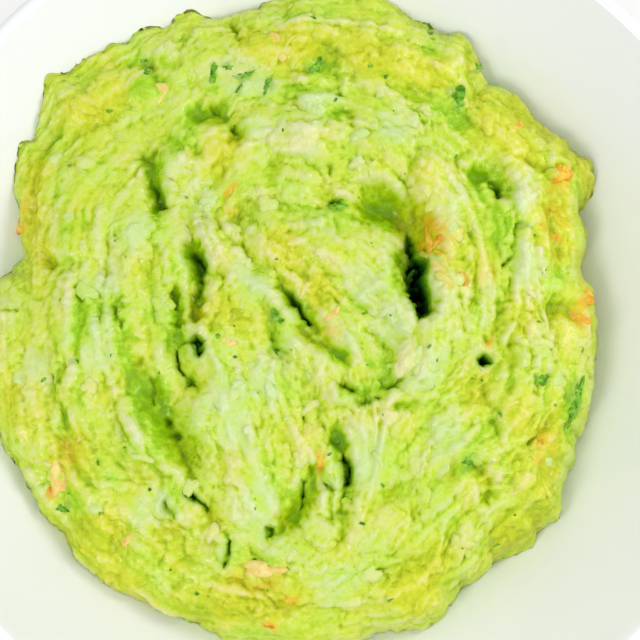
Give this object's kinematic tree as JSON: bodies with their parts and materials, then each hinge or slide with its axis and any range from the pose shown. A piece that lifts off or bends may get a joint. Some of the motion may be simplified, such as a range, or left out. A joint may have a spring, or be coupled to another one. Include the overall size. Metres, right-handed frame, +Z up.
{
  "type": "guacamole in a bowl",
  "caption": "Thick guacamole heaped in a wide round white bowl on a foot ring, its surface left in rough spoon folds with small bits of tomato and herb.",
  "frame": {"origin": "centre of the foot ring's underside, on the surface the bowl stands on", "axes": "+Z up out of the bowl, +X and +Y level, with the heap's crater towards +X +Y"},
  "size_m": [0.224, 0.224, 0.058],
  "materials": {
    "glaze": "smooth glossy white glaze",
    "guacamole": "moist pale green mash with darker green creases",
    "tomato": "moist orange-red tomato bits",
    "herb": "moist chopped coriander leaf",
    "onion": "moist translucent onion bits"
  },
  "bodies": {
    "root": {"bowl": "glaze", "guacamole": "guacamole"}
  },
  "joints": []
}
